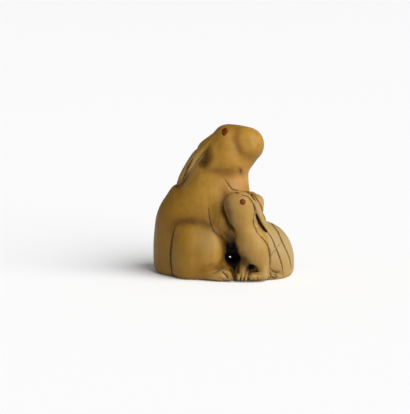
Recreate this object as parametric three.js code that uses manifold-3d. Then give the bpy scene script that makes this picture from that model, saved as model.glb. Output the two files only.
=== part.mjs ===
// A netsuke, the carved toggle of a Japanese purse cord: a seated rabbit that shelters its young.
// One piece of ivory makes both animals and the foot that they share; three red eyes are let into it.
// Millimetres, +Z up, origin under the middle. The adult's muzzle points along +X, the young sits at -Y.
//
// The ivory is a distance field: each limb is a stretched ball or a tapered stroke, and the forms are
// blended into one another or parted by a cut line, as a carver works. The field is turned into facets,
// thinned, cut flat below, bored for the cord and drilled for the eyes. The finest lines are left out.
import * as THREE from "three";
import { mergeVertices } from "three/addons/utils/BufferGeometryUtils.js";
import Module from "manifold-3d";

const wasm = await Module();
wasm.setup();

// Driving dimensions.
const HEIGHT = 41.5; // top of the adult's head above the foot
const LEFT = -19.5; // the back, at its widest
const RIGHT = 19.3; // the far knee
const FRONT = -13; // the young's toes
const BACK = 13.2; // the small of the back
const FOOT_ROUND = 2.6; // how softly the sides turn under to the flat foot
const LINE_DEPTH = 0.25; // of the line cut where two limbs meet
const LINE_WIDTH = 0.7;
const PASSAGE = { middle: 2.4, width: 4.4, floor: 4.2, ceiling: 8.4, corner: 0.3 }; // for the cord

// The eyes: half width, half height and half depth of each inlay, and its place seen from the side.
const ADULT_EYE = { half: [0.82, 1.2, 0.42], at: [0.2, 39.6], pointed: 0.4 };
const YOUNG_EYE = { half: [0.76, 0.78, 0.38], at: [5, 21.9], pointed: 0 };
const EYE_GAP = 0.05; // all round, for the glue

// How finely the field is sampled, and how many facets are kept.
const PITCH = 0.62;
const FACES = 8000;

// ---------------------------------------------------------------- forms

// A ball with three radii about a centre. drop stretches its lower half, for a form that stands on the
// foot; turn is in degrees about X, Y and Z.
function ball(centre, radii, { drop = 1, turn = [0, 0, 0] } = {}) {
  const spin = new THREE.Euler(...turn.map(THREE.MathUtils.degToRad));
  const m = new THREE.Matrix4().makeRotationFromEuler(spin).transpose().elements;
  const [cx, cy, cz] = centre;
  const [rx, ry, rz] = radii;
  return (x, y, z) => {
    const [dx, dy, dz] = [x - cx, y - cy, z - cz];
    const u = (m[0] * dx + m[4] * dy + m[8] * dz) / rx;
    const v = (m[1] * dx + m[5] * dy + m[9] * dz) / ry;
    const rise = m[2] * dx + m[6] * dy + m[10] * dz;
    const w = rise / (rise < 0 ? rz * drop : rz);
    const near = Math.hypot(u, v, w);
    const far = Math.hypot(u / rx, v / ry, w / rz);
    return far < 1e-9 ? -Math.min(rx, ry, rz) : (near * (near - 1)) / far;
  };
}

// A stroke from one point to another whose radius runs from r0 to r1.
function stroke(from, to, r0, r1 = r0) {
  const axis = to.map((v, i) => v - from[i]);
  const square = axis.reduce((sum, v) => sum + v * v, 0);
  return (x, y, z) => {
    const [dx, dy, dz] = [x - from[0], y - from[1], z - from[2]];
    const along = (dx * axis[0] + dy * axis[1] + dz * axis[2]) / square;
    const t = Math.min(1, Math.max(0, along));
    const reach = Math.hypot(dx - axis[0] * t, dy - axis[1] * t, dz - axis[2] * t);
    return reach - (r0 + (r1 - r0) * t);
  };
}

// A stroke along a smooth curve through the points, thick in the middle and thinner at both ends.
function line(points, radius, taper = 0.35) {
  const steps = 12;
  const at = new THREE.CatmullRomCurve3(points.map((p) => new THREE.Vector3(...p))).getPoints(steps);
  const wide = (i) => radius * (taper + (1 - taper) * Math.sin((Math.PI * i) / steps));
  const bits = at.slice(1).map((p, i) => stroke(at[i].toArray(), p.toArray(), wide(i), wide(i + 1)));
  return (x, y, z) => bits.reduce((least, bit) => Math.min(least, bit(x, y, z)), Infinity);
}

// Two values joined softly over a width k, as a minimum or as a maximum.
const softMin = (a, b, k) => Math.min(a, b) - Math.max(k - Math.abs(a - b), 0) ** 2 / (4 * k);
const softMax = (a, b, k) => -softMin(-a, -b, k);

// Forms melted into one another over a width k.
const melt = (k, first, ...rest) => (x, y, z) =>
  rest.reduce((d, form) => softMin(d, form(x, y, z), k), first(x, y, z));

// A form set against another, with a shallow line cut where their surfaces meet.
const set = (base, form, k, depth = LINE_DEPTH) => (x, y, z) => {
  const [a, b] = [base(x, y, z), form(x, y, z)];
  return softMin(a, b, k) + depth * Math.exp(-(((a - b) / LINE_WIDTH) ** 2));
};

// A form with others scooped out of it, over a soft rim k.
const scoop = (k, base, ...cuts) => (x, y, z) =>
  cuts.reduce((d, cut) => softMax(d, -cut(x, y, z), k), base(x, y, z));

// A form made broader in Y by a factor, about a plane.
const broad = (form, middle, factor) => (x, y, z) => form(x, middle + (y - middle) / factor, z);

// The same form on both sides of the plane y = 0.
const paired = (form) => (x, y, z) => form(x, -Math.abs(y), z);

// Three toes side by side, each set off from the last by a step.
const toes = (from, to, step, r0, r1) => {
  const beside = (point, i) => point.map((v, n) => v + i * step[n]);
  return [-1, 0, 1].map((i) => stroke(beside(from, i), beside(to, i), r0, r1));
};

// ---------------------------------------------------------------- the adult

// The trunk: a broad seat, an upright back and a narrower chest, throat and neck.
function trunk() {
  const seat = ball([LEFT + 13, 2.4, 6], [13, BACK - 2.6, 13], { drop: 3 });
  const back = ball([LEFT + 13.6, 1.4, 13.3], [12.7, 9.4, 13.8]);
  const belly = ball([3, 2.3, 6], [8.8, BACK - 2.7, 9], { drop: 3 });
  const chest = ball([1, -0.2, 20.2], [6.2, 6.4, 8.2]);
  const neck = broad(stroke([-4.9, 0.4, 21], [-2, 0, 32], 8.1, 5.8), 0, 0.85);
  const throat = broad(stroke([1.4, 0, 22], [1.2, 0, 31], 5.5, 5.3), 0, 0.88);
  return melt(2, seat, back, belly, melt(1, chest, neck, throat));
}

// The head in profile, lifted: a narrow skull, full cheeks and a round muzzle behind a soft crease.
function head() {
  const skull = ball([2.1, 0, HEIGHT - 6.7], [6.1, 5, 6.6]);
  const crown = broad(stroke([0.2, 0, 38.2], [-4.2, 0, 34.1], 2.85, 2.7), 0, 1.25);
  const cheek = ball([1, -2.7, 32.5], [5.3, 3.4, 4.6]);
  const jaw = ball([-0.4, -2.8, 31.4], [4.9, 3.3, 2.6]);
  const cheeks = paired(melt(1, cheek, jaw));
  const muzzle = ball([6.1, 0, 35.8], [4.8, 4.9, 4.7], { drop: 1.12 });
  const chin = ball([4.9, 0, 31.7], [3.2, 3.4, 2.8]);
  const groove = line([[4.4, -5.2, 41], [3.7, -6.6, 37.4], [3.6, -6.9, 34.4], [4.4, -6.3, 31.6]], 0.6);
  return scoop(2, melt(1.6, skull, crown, cheeks, muzzle, chin), paired(groove));
}

// An ear laid back along the nape.
function ear() {
  const upper = [[-2.4, -1.6, 38.2], [-5.4, -1.9, 35.5], [-7.8, -1.9, 32.6]];
  const lower = [[-9.5, -1.9, 30], [-11, -1.8, 27.5], [-12.3, -1.7, 25.2]];
  return broad(line([...upper, ...lower], 1.35, 0.55), -1.8, 1.7);
}

// The pit between the ear and the cheek.
const earPit = ball([-5.8, -6, 32.9], [2.3, 3.2, 3], { turn: [0, 28, 0] });

// The near thigh and knee, and the hind foot tucked along the front.
function nearHaunch() {
  return melt(2.5,
    ball([-7.2, -5.2, 7.2], [7, 5.2, 8.8], { drop: 2.4 }),
    ball([-3.3, -6.8, 8], [3.6, 4, 7.1], { drop: 1.6 }));
}

function nearFoot() {
  const sole = stroke([-8, -8.2, 0.8], [-0.6, -10, 1.2], 1.3, 2);
  return melt(0.35, sole, ...toes([-0.5, -10.2, 1.8], [1.9, -11.2, 1.4], [0.25, -0.5, -0.6], 1, 0.75));
}

// The far thigh and knee, and the toes that show beside the young.
function farHaunch() {
  return melt(2,
    ball([RIGHT - 8.6, -1, 3.9], [8.6, 9, 10.7], { drop: 3 }),
    ball([10.2, -2.6, 10.3], [3.4, 4.6, 4.4]));
}

const farFoot = melt(0.35, ...toes([13.9, -7.4, 1.8], [13.5, -9, 0.9], [1.15, 0.6, 0], 0.9, 0.75));

// The near foreleg hangs down beside the young, and the far one holds it behind the ears.
const nearForeleg = melt(0.8,
  stroke([-2.4, -3.6, 22.2], [-0.6, -6.4, 16.2], 2.4, 2.3),
  stroke([-0.6, -6.4, 16.2], [1.1, -8, 12.6], 2.3, 1.8),
  stroke([1.1, -8, 12.6], [1.8, -8.5, 9.8], 1.8, 0.9));

const farForeleg = melt(1.2,
  stroke([2, 4.6, 20.8], [7.2, 1.4, 20.6], 3.2, 2.2),
  stroke([7.2, 1.4, 20.6], [8.6, -2.4, 20.3], 2.2, 2),
  stroke([8.6, -2.4, 20.3], [9.1, -4, 18.2], 2, 1.7));

const scut = ball([-9.4, BACK - 2.2, 5], [2.6, 2.4, 3.4]);

function adult() {
  const body = melt(1.8, trunk(), head());
  const eared = set(scoop(1, body, paired(earPit)), paired(ear()), 0.5);
  const seated = set(set(eared, nearHaunch(), 1.6, LINE_DEPTH / 2), farHaunch(), 0.8);
  const holding = set(set(seated, nearForeleg, 1.2, 0), farForeleg, 0.8);
  return set(set(set(holding, scut, 0.6), nearFoot(), 0.5), farFoot, 0.4);
}

// ---------------------------------------------------------------- the young

function youngHead() {
  return melt(1.6,
    ball([4.6, -8.9, 20.6], [3.5, 3.4, 3.6]),
    ball([2.6, -9.5, 20.8], [2.6, 2.6, 2.7]),
    ball([3.9, -9.2, 18.2], [2.9, 2.9, 3.2]),
    stroke([4.8, -8.9, 17.6], [5.6, -8.4, 13.6], 2.9, 2.7));
}

function youngBody() {
  const torso = ball([7.2, -7.9, 10], [4.6, 4.4, 5.4]);
  const haunch = ball([8.8, -8.4, 7.2], [3.5, 3.7, 4.6]);
  const foreleg = stroke([6, -9.2, 6.6], [5.2, -11, 1.6], 1.6, 1.2);
  const hindLeg = stroke([10.4, -8.8, 6.8], [10.6, -10.2, 1.6], 1.7, 1.6);
  const hindFoot = stroke([10.5, -10.8, 1.2], [7.6, -11.6, 1.1], 1.3, 1.1);
  const paw = toes([5, -11, 1.6], [4.9, -11.9, 0.8], [0.95, -0.1, 0], 0.75, 0.65);
  const form = melt(0.7, melt(1.4, torso, haunch), foreleg, hindLeg);
  return melt(0.3, form, hindFoot, ...paw);
}

// Both ears lie back towards the far knee, one above the other.
function youngEars() {
  const above = [[5.6, -7.8, 22.6], [8.3, -6.8, 19.7], [9.9, -6.4, 16.6], [11.5, -6.2, 13.2]];
  const far = line(above, 1.25, 0.55);
  const near = line([[6.2, -8.4, 20.4], [7.6, -8.5, 17.2], [9.2, -8.2, 13.4]], 1.1, 0.6);
  const between = line([[6.4, -6, 21.2], [8.8, -6, 17.6], [10.2, -6, 13.6]], 1.8, 0.8);
  return melt(0.6, far, between, near);
}

// The space between the belly, the forepaw and the hind foot.
const bellyPocket = ball([7.7, -11.2, 3.8], [1.1, 3.4, 0.9], { turn: [0, 15, 0] });

function young() {
  return scoop(0.4, melt(0.5, melt(1.2, youngBody(), youngHead()), youngEars()), bellyPocket);
}

// ---------------------------------------------------------------- the passage for the cord

// It goes in where the young leans away from the adult's knee, and out low down on the other side. Both
// mouths are flared.
function mouths() {
  const { middle, floor, ceiling } = PASSAGE;
  const near = ball([middle, -12.8, (floor + ceiling) / 2], [2.1, 3.6, 2.3]);
  const above = stroke([middle - 0.9, -10.6, 10.7], [middle - 0.2, -10.7, ceiling], 0.5, 1.3);
  const below = stroke([middle + 0.3, -9.8, 4.5], [middle + 0.5, -11.4, 2.9], 1, 0.45);
  const far = ball([middle, BACK + 1.6, ceiling - 1], [2.8, 2.4, 2.8]);
  return melt(0.4, near, above, below, far);
}

// The straight bore between them.
function bore() {
  const { middle, width, floor, ceiling, corner } = PASSAGE;
  const [w, h] = [width / 2 - corner, (ceiling - floor) / 2 - corner];
  const outline = new THREE.Shape();
  outline.absarc(w, h, corner, 0, Math.PI / 2);
  outline.absarc(-w, h, corner, Math.PI / 2, Math.PI);
  outline.absarc(-w, -h, corner, Math.PI, 1.5 * Math.PI);
  outline.absarc(w, -h, corner, 1.5 * Math.PI, 2 * Math.PI);
  const depth = 3 * BACK;
  const block = new THREE.ExtrudeGeometry(outline, { depth, bevelEnabled: false, curveSegments: 4 });
  block.translate(0, 0, -depth / 2).rotateX(Math.PI / 2);
  return block.translate(middle, 0, (floor + ceiling) / 2);
}

// The low foot that both animals share, whose edge closes the gap below the passage.
const foot = ball([2, -3, 0], [13, 7.6, PASSAGE.floor - 0.4]);

function carving() {
  const group = melt(0.6, set(adult(), young(), 0.9), foot);
  const open = scoop(0.5, group, mouths());
  return (x, y, z) => softMax(open(x, y, z), -z - 0.3, FOOT_ROUND);
}

// ---------------------------------------------------------------- from the field to facets

// The four-cornered cells that a cube is split into, as the order in which each walks the cube's axes.
const WALKS = [[0, 1, 2], [1, 2, 0], [2, 0, 1], [0, 2, 1], [2, 1, 0], [1, 0, 2]];

// Where a cell with one, two or three corners inside is crossed, as pairs of corners, inside ones first.
const CROSSED = { 1: ["01", "02", "03"], 2: ["02", "03", "13", "12"], 3: ["03", "13", "23"] };

// The surface where the field is zero, as points and triangles, by marching through those cells.
function polygonise(field) {
  const low = [LEFT, FRONT, 0].map((v) => v - 2);
  const count = [RIGHT, BACK, HEIGHT].map((v, i) => Math.ceil((v + 2 - low[i]) / PITCH) + 1);
  const stride = [1, count[0], count[0] * count[1]];
  const place = (n) => stride.map((s, i) => low[i] + PITCH * (Math.floor(n / s) % count[i]));
  const value = Float64Array.from({ length: stride[2] * count[2] }, (_, n) => field(...place(n)) || 1e-9);
  const [points, faces, seen] = [[], [], new Map()];
  const crossing = (a, b) => {
    const key = Math.min(a, b) * value.length + Math.max(a, b);
    if (!seen.has(key)) {
      const [p, q, t] = [place(a), place(b), value[a] / (value[a] - value[b])];
      seen.set(key, points.push(p.map((v, i) => v + (q[i] - v) * t)) - 1);
    }
    return seen.get(key);
  };
  const cross = (start, [a, b, c], mirrored) => {
    const second = start + stride[a];
    const cell = [start, second, second + stride[b], second + stride[b] + stride[c]];
    const within = [0, 1, 2, 3].filter((n) => value[cell[n]] < 0);
    const inside = within.length;
    if (inside === 0 || inside === 4) return;
    const order = [...within, ...[0, 1, 2, 3].filter((n) => !within.includes(n))];
    const swaps = order.reduce((sum, v, m) => sum + order.slice(m + 1).filter((w) => w < v).length, 0);
    const loop = CROSSED[inside].map(([p, q]) => crossing(cell[order[p]], cell[order[q]]));
    if ((swaps % 2 === 1) !== mirrored) loop.reverse();
    for (let n = 2; n < loop.length; n++) faces.push([loop[0], loop[n - 1], loop[n]]);
  };
  for (let k = 0; k < count[2] - 1; k++)
    for (let j = 0; j < count[1] - 1; j++)
      for (let i = 0; i < count[0] - 1; i++)
        WALKS.forEach((walk, n) => cross(i + j * stride[1] + k * stride[2], walk, n > 2));
  return { points, faces };
}

// ---------------------------------------------------------------- thinning

// The plane of a facet as its normal and offset, followed by twice its area.
function planeOf(points, face) {
  const [p, q, r] = face.map((n) => new THREE.Vector3(...points[n]));
  const normal = q.sub(p).cross(r.sub(p));
  const area = normal.length();
  normal.divideScalar(area || 1);
  return [...normal.toArray(), -normal.dot(p), area];
}

// How far a place lies from the planes summed in q, squared and weighted by area.
const bendAt = (q, [x, y, z]) =>
  q[0] * x * x + q[4] * y * y + q[7] * z * z + q[9] +
  2 * (q[1] * x * y + q[2] * x * z + q[5] * y * z + q[3] * x + q[6] * y + q[8] * z);

// The place between two points where closing their edge bends the surface least.
function bestPlace(q, p, r) {
  const middle = p.map((v, i) => (v + r[i]) / 2);
  const reach = Math.hypot(...p.map((v, i) => v - r[i]));
  const m = new THREE.Matrix3().set(q[0], q[1], q[2], q[1], q[4], q[5], q[2], q[5], q[7]);
  const places = [p, r, middle];
  if (Math.abs(m.determinant()) > 1e-7) {
    const best = new THREE.Vector3(-q[3], -q[6], -q[8]).applyMatrix3(m.invert()).toArray();
    if (Math.hypot(...best.map((v, i) => v - middle[i])) < reach) places.push(best);
  }
  const place = places.reduce((x, y) => (bendAt(q, y) < bendAt(q, x) ? y : x));
  return { place, price: bendAt(q, place) + 1e-4 * reach ** 3 };
}

// A heap that gives back the cheapest item first.
class Queue {
  items = [];
  swap = (i, j) => ([this.items[i], this.items[j]] = [this.items[j], this.items[i]]);
  cheaper = (i, j) => this.items[i].price < this.items[j].price;
  push(item) {
    for (let i = this.items.push(item) - 1; i > 0 && this.cheaper(i, (i - 1) >> 1); i = (i - 1) >> 1)
      this.swap(i, (i - 1) >> 1);
  }
  pop() {
    this.swap(0, this.items.length - 1);
    const least = this.items.pop();
    for (let i = 0, j = 1; j < this.items.length; i = j, j = 2 * i + 1) {
      if (j + 1 < this.items.length && this.cheaper(j + 1, j)) j++;
      if (!this.cheaper(j, i)) break;
      this.swap(i, j);
    }
    return least;
  }
}

// Thins a closed mesh to a number of triangles, always closing up the edge whose loss bends it least.
function thin({ points, faces }, target) {
  const bend = points.map(() => new Float64Array(10));
  const around = points.map(() => new Set());
  const stamp = new Uint32Array(points.length);
  const queue = new Queue();
  faces.forEach((face, f) => {
    const [a, b, c, d, area] = planeOf(points, face);
    const square = [a * a, a * b, a * c, a * d, b * b, b * c, b * d, c * c, c * d, d * d];
    face.forEach((n) => {
      around[n].add(f);
      square.forEach((v, i) => (bend[n][i] += v * area));
    });
  });
  const ring = (n) => new Set([...around[n]].flatMap((f) => faces[f]).filter((m) => m !== n));
  const offer = (a, b) => {
    const both = bend[a].map((v, i) => v + bend[b][i]);
    queue.push({ a, b, age: stamp[a] + stamp[b], ...bestPlace(both, points[a], points[b]) });
  };
  const turnsOver = (n, other, place) =>
    [...around[n]].filter((f) => !faces[f].includes(other)).some((f) => {
      const [a, b, c] = planeOf(points, faces[f]);
      const kept = points[n];
      points[n] = place;
      const [d, e, g] = planeOf(points, faces[f]);
      points[n] = kept;
      return a * d + b * e + c * g < 0.3;
    });
  points.forEach((_, a) => ring(a).forEach((b) => a < b && offer(a, b)));
  let left = faces.length;
  while (left > target && queue.items.length) {
    const { a, b, place, age } = queue.pop();
    if (!around[a].size || !around[b].size || age !== stamp[a] + stamp[b]) continue;
    const beside = ring(b);
    if ([...ring(a)].filter((n) => beside.has(n)).length !== 2) continue;
    if (turnsOver(a, b, place) || turnsOver(b, a, place)) continue;
    points[a] = place;
    bend[b].forEach((v, i) => (bend[a][i] += v));
    for (const f of around[b])
      if (faces[f].includes(a)) {
        faces[f].forEach((n) => around[n].delete(f));
        left--;
      } else {
        faces[f] = faces[f].map((n) => (n === b ? a : n));
        around[a].add(f);
      }
    around[b].clear();
    stamp[a] = Math.max(stamp[a], stamp[b]) + 1;
    ring(a).forEach((n) => stamp[n]++);
    ring(a).forEach((n) => {
      offer(a, n);
      ring(n).forEach((m) => m !== a && offer(n, m));
    });
  }
  return { points, faces: faces.filter((face, f) => around[face[0]].has(f)) };
}

// ---------------------------------------------------------------- solids

function geometryOf({ points, faces }) {
  const geometry = new THREE.BufferGeometry();
  geometry.setAttribute("position", new THREE.Float32BufferAttribute(points.flat(), 3));
  return geometry.setIndex(faces.flat());
}

function toSolid(geometry) {
  const bare = new THREE.BufferGeometry().setAttribute("position", geometry.getAttribute("position"));
  const merged = mergeVertices(bare.setIndex(geometry.getIndex()), 1e-4);
  return new wasm.Manifold(new wasm.Mesh({
    numProp: 3,
    vertProperties: merged.attributes.position.array,
    triVerts: new Uint32Array(merged.index.array),
  }));
}

function toGeometry(solid) {
  const mesh = solid.getMesh();
  const geometry = new THREE.BufferGeometry();
  geometry.setAttribute("position", new THREE.BufferAttribute(mesh.vertProperties, 3));
  return geometry.setIndex(new THREE.BufferAttribute(mesh.triVerts, 1));
}

// ---------------------------------------------------------------- eyes

// The point of the surface behind a place seen from the near side, and the way that it faces there.
function seat(field, [x, z]) {
  let y = FRONT - 2;
  for (let i = 0; i < 80; i++) y += 0.6 * field(x, y, z);
  const e = 0.2;
  const slope = [
    field(x + e, y, z) - field(x - e, y, z),
    field(x, y + e, z) - field(x, y - e, z),
    field(x, y, z + e) - field(x, y, z - e),
  ];
  return { point: new THREE.Vector3(x, y, z), out: new THREE.Vector3(...slope).normalize() };
}

// A domed plug, upright and facing out, larger by a margin for its socket. pointed narrows its lower half.
function plug({ half, pointed }, { point, out }, margin = 0) {
  const shape = new THREE.SphereGeometry(1, 14, 10);
  const at = shape.getAttribute("position");
  for (let i = 0; i < at.count; i++) {
    const narrowed = 1 - pointed * Math.max(-at.getY(i), 0) ** 1.5;
    at.setX(i, at.getX(i) * narrowed);
  }
  const side = new THREE.Vector3(0, 0, 1).cross(out).normalize();
  const turn = new THREE.Matrix4().makeBasis(side, out.clone().cross(side), out);
  return shape.scale(...half.map((v) => v + margin)).applyMatrix4(turn).translate(...point.toArray());
}

// ---------------------------------------------------------------- the netsuke

const ivory = new THREE.MeshStandardMaterial({ color: 0xb5853f, roughness: 0.35, metalness: 0 });
const red = new THREE.MeshStandardMaterial({ color: 0x6e1208, roughness: 0.2, metalness: 0 });

const field = carving();
const under = new THREE.BoxGeometry(100, 100, 10).translate(0, 0, -5);
let body = toSolid(geometryOf(thin(polygonise(field), FACES)));
body = body.subtract(toSolid(under)).subtract(toSolid(bore()));

const netsuke = new THREE.Group();

function add(name, geometry, material) {
  const mesh = new THREE.Mesh(geometry, material.clone());
  mesh.name = name;
  netsuke.add(mesh);
}

const across = ({ point, out }) => {
  const flip = new THREE.Vector3(1, -1, 1);
  return { point: point.clone().multiply(flip), out: out.clone().multiply(flip) };
};
const adultSeat = seat(field, ADULT_EYE.at);
const eyes = [
  ["adult_right_eye", ADULT_EYE, adultSeat],
  ["adult_left_eye", ADULT_EYE, across(adultSeat)],
  ["young_eye", YOUNG_EYE, seat(field, YOUNG_EYE.at)],
];
for (const [name, eye, place] of eyes) {
  body = body.subtract(toSolid(plug(eye, place, EYE_GAP)));
  add(name, plug(eye, place), red);
}
add("ivory_carving", toGeometry(body), ivory);

// The origin is under the middle of the whole carving.
const box = new THREE.Box3().setFromObject(netsuke);
const middle = box.getCenter(new THREE.Vector3());
netsuke.children.forEach((mesh) => mesh.geometry.translate(-middle.x, -middle.y, -box.min.z));

export default netsuke;
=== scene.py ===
# A netsuke, the carved toggle of a Japanese purse cord: a seated rabbit that shelters its young.
# One piece of old ivory makes both animals and the foot that they share; three red eyes are let into it.
import math

import bpy
import numpy as np
from mathutils import Matrix, Vector


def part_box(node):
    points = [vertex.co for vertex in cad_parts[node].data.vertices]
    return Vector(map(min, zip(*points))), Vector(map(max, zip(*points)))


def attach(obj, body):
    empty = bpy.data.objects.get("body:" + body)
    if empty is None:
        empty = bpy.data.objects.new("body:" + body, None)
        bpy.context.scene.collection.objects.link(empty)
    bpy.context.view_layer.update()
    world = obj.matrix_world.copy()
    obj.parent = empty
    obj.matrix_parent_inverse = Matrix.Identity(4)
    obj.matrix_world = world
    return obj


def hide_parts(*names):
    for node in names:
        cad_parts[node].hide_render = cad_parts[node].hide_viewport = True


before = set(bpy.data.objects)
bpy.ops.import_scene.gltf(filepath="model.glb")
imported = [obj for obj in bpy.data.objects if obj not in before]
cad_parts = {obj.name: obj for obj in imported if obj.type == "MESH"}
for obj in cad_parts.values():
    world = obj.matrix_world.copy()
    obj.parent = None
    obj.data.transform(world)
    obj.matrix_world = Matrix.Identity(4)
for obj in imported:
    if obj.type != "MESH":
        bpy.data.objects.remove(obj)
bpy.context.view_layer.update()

# ---------------------------------------------------------------- the adult
# The old rabbit sits upright with its head lifted and its ears laid back along the nape. The carver rounds
# each limb out of the ivory block, and melts it into its neighbour or parts the two with a cut. The near
# foreleg hangs beside the young, and the far one holds it behind the ears.
HEIGHT, LEFT, RIGHT, BACK = 41.5, -19.5, 19.3, 13.2

# Each form is a depth in millimetres: less than nothing inside the ivory, nothing at its surface.


def ball(centre, radii, drop=1.0, turn=0.0):
    """A ball with three radii. drop stretches its lower half; turn is in degrees about Y."""
    c, s = math.cos(math.radians(turn)), math.sin(math.radians(turn))
    rx, ry, rz = radii

    def form(x, y, z):
        dx, dy, dz = x - centre[0], y - centre[1], z - centre[2]
        u, v, rise = (c * dx - s * dz) / rx, dy / ry, s * dx + c * dz
        w = rise / np.where(rise < 0, rz * drop, rz)
        near = np.sqrt(u * u + v * v + w * w)
        far = np.sqrt((u / rx) ** 2 + (v / ry) ** 2 + (w / rz) ** 2)
        return near * (near - 1) / np.maximum(far, 1e-9)

    return form


def stroke(start, end, r0, r1=None):
    """A stroke from one point to another whose radius runs from r0 to r1."""
    axis = np.subtract(end, start)
    grow = 0 if r1 is None else r1 - r0

    def form(x, y, z):
        dx, dy, dz = x - start[0], y - start[1], z - start[2]
        t = np.clip((dx * axis[0] + dy * axis[1] + dz * axis[2]) / (axis @ axis), 0, 1)
        away = np.sqrt((dx - axis[0] * t) ** 2 + (dy - axis[1] * t) ** 2 + (dz - axis[2] * t) ** 2)
        return away - r0 - grow * t

    return form


def curve(points, steps=12):
    """Places along a smooth curve through the points."""
    p = np.array(points, float)
    p = np.vstack([2 * p[0] - p[1], p, 2 * p[-1] - p[-2]])
    places = []
    for s in np.linspace(0, len(p) - 3, steps + 1):
        i = min(int(s), len(p) - 4)
        a, b, c, d = p[i:i + 4]
        h0, h1, h2 = (max(np.sum((v - u) ** 2), 1e-12) ** 0.25 for u, v in ((a, b), (b, c), (c, d)))
        out = ((b - a) / h0 - (c - a) / (h0 + h1) + (c - b) / h1) * h1
        back = ((c - b) / h1 - (d - b) / (h1 + h2) + (d - c) / h2) * h1
        w = s - i
        places.append(b + out * w + (3 * (c - b) - 2 * out - back) * w**2 + (2 * (b - c) + out + back) * w**3)
    return np.array(places)


def line(points, radius, taper=0.35):
    """A stroke along a smooth curve, thick in the middle and thinner at both ends."""
    at = curve(points)
    wide = radius * (taper + (1 - taper) * np.sin(np.linspace(0, math.pi, len(at))))
    bits = [stroke(at[i], at[i + 1], wide[i], wide[i + 1]) for i in range(len(at) - 1)]

    def form(x, y, z):
        least = bits[0](x, y, z)
        for bit in bits[1:]:
            least = np.minimum(least, bit(x, y, z))
        return least

    return form


def soft_min(a, b, k):
    """The smaller of two depths, joined softly over a width k."""
    return np.minimum(a, b) - np.maximum(k - np.abs(a - b), 0) ** 2 / (4 * k)


def melt(k, *forms):
    """Forms melted into one another over a width k."""
    def form(x, y, z):
        depth = forms[0](x, y, z)
        for other in forms[1:]:
            depth = soft_min(depth, other(x, y, z), k)
        return depth

    return form


def part(base, other, k, cut=0.25, width=0.7):
    """A form set against another, with a shallow line cut where their surfaces meet."""
    def form(x, y, z):
        a, b = base(x, y, z), other(x, y, z)
        return soft_min(a, b, k) + cut * np.exp(-(((a - b) / width) ** 2))

    return form


def scoop(k, base, *cuts):
    """A form with others scooped out of it, over a soft rim k."""
    def form(x, y, z):
        depth = base(x, y, z)
        for cut in cuts:
            depth = -soft_min(-depth, cut(x, y, z), k)
        return depth

    return form


def broad(form, middle, factor):
    """A form made broader in Y by a factor, about a plane."""
    return lambda x, y, z: form(x, middle + (y - middle) / factor, z)


def paired(form):
    """The same form on both sides of the middle."""
    return lambda x, y, z: form(x, -np.abs(y), z)


def toes(start, end, step, r0, r1):
    """Three toes side by side, each set off from the last by a step."""
    return [stroke(np.add(start, np.multiply(step, i)), np.add(end, np.multiply(step, i)), r0, r1)
            for i in (-1, 0, 1)]


trunk = melt(2,
             ball((LEFT + 13, 2.8, 6), (13, BACK - 3, 13), drop=3),
             ball((LEFT + 13.6, 1.4, 12.3), (13.1, 9.4, 14)),
             ball((3, 2.3, 6), (8.8, BACK - 2.7, 9), drop=3),
             melt(1,
                  ball((1, -0.2, 20.2), (6.2, 6.4, 8.2)),
                  broad(stroke((-4.9, 0.4, 21), (-2, 0, 32), 8.35, 5.8), 0, 0.85),
                  broad(stroke((1.4, 0, 22), (1.2, 0, 31), 5.5, 5.3), 0, 0.88),
                  ball((-11, 0.3, 21.8), (3.5, 4, 3.4))))
head = scoop(2,
             melt(1.6,
                  ball((2.4, 0, HEIGHT - 6.8), (5.8, 5, 6.5)),
                  broad(stroke((0.2, 0, 38.1), (-4.2, 0, 34.1), 2.7, 2.5), 0, 1.25),
                  paired(melt(1,
                              ball((1, -2.7, 32.5), (5.3, 3.4, 4.6)),
                              ball((-0.4, -2.8, 31.4), (4.9, 3.3, 2.6)))),
                  ball((6.1, 0, 35.8), (4.8, 4.9, 4.7), drop=1.07),
                  ball((4.9, 0, 31.7), (3.2, 3.4, 2.8))),
             paired(line([(4.4, -5.2, 41), (3.7, -6.6, 37.4), (3.6, -6.9, 34.4), (4.4, -6.3, 31.6)], 0.6)))
ear = broad(line([(-2.3, -1.6, 38.1), (-5.1, -1.9, 35.3), (-7.6, -1.9, 32.5), (-9.3, -1.9, 29.9),
                  (-10.9, -1.8, 27.5), (-12.3, -1.7, 25.2)], 1.25, 0.55), -1.8, 1.7)
ear_pit = ball((-5.8, -6, 32.9), (2.3, 3.2, 3), turn=28)
near_haunch = melt(2.5,
                   ball((-7.2, -5.2, 7.2), (7, 5, 8.8), drop=1.9),
                   ball((-3.3, -6.8, 8), (3.6, 4, 7.1), drop=1.6))
near_foot = melt(0.35,
                 stroke((-8, -8.2, 0.8), (-0.6, -10, 1.2), 1.3, 2),
                 *toes((-0.5, -10.2, 1.8), (1.9, -11.2, 1.4), (0.25, -0.5, -0.6), 1, 0.75))
far_haunch = melt(2,
                  ball((RIGHT - 8.6, -1, 3.9), (8.6, 9, 10.7), drop=3),
                  ball((10.2, -2.6, 10.3), (3.4, 4.6, 4.4)))
far_foot = melt(0.35, *toes((13.9, -7.4, 1.8), (13.5, -9, 0.9), (1.15, 0.6, 0), 0.9, 0.75))
near_foreleg = melt(0.8,
                    stroke((-2.4, -3.6, 22.2), (-0.6, -6.4, 16.2), 2.4, 2.3),
                    stroke((-0.6, -6.4, 16.2), (1.1, -8, 12.6), 2.3, 1.8),
                    stroke((1.1, -8, 12.6), (1.8, -8.5, 9.8), 1.8, 0.9))
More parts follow.
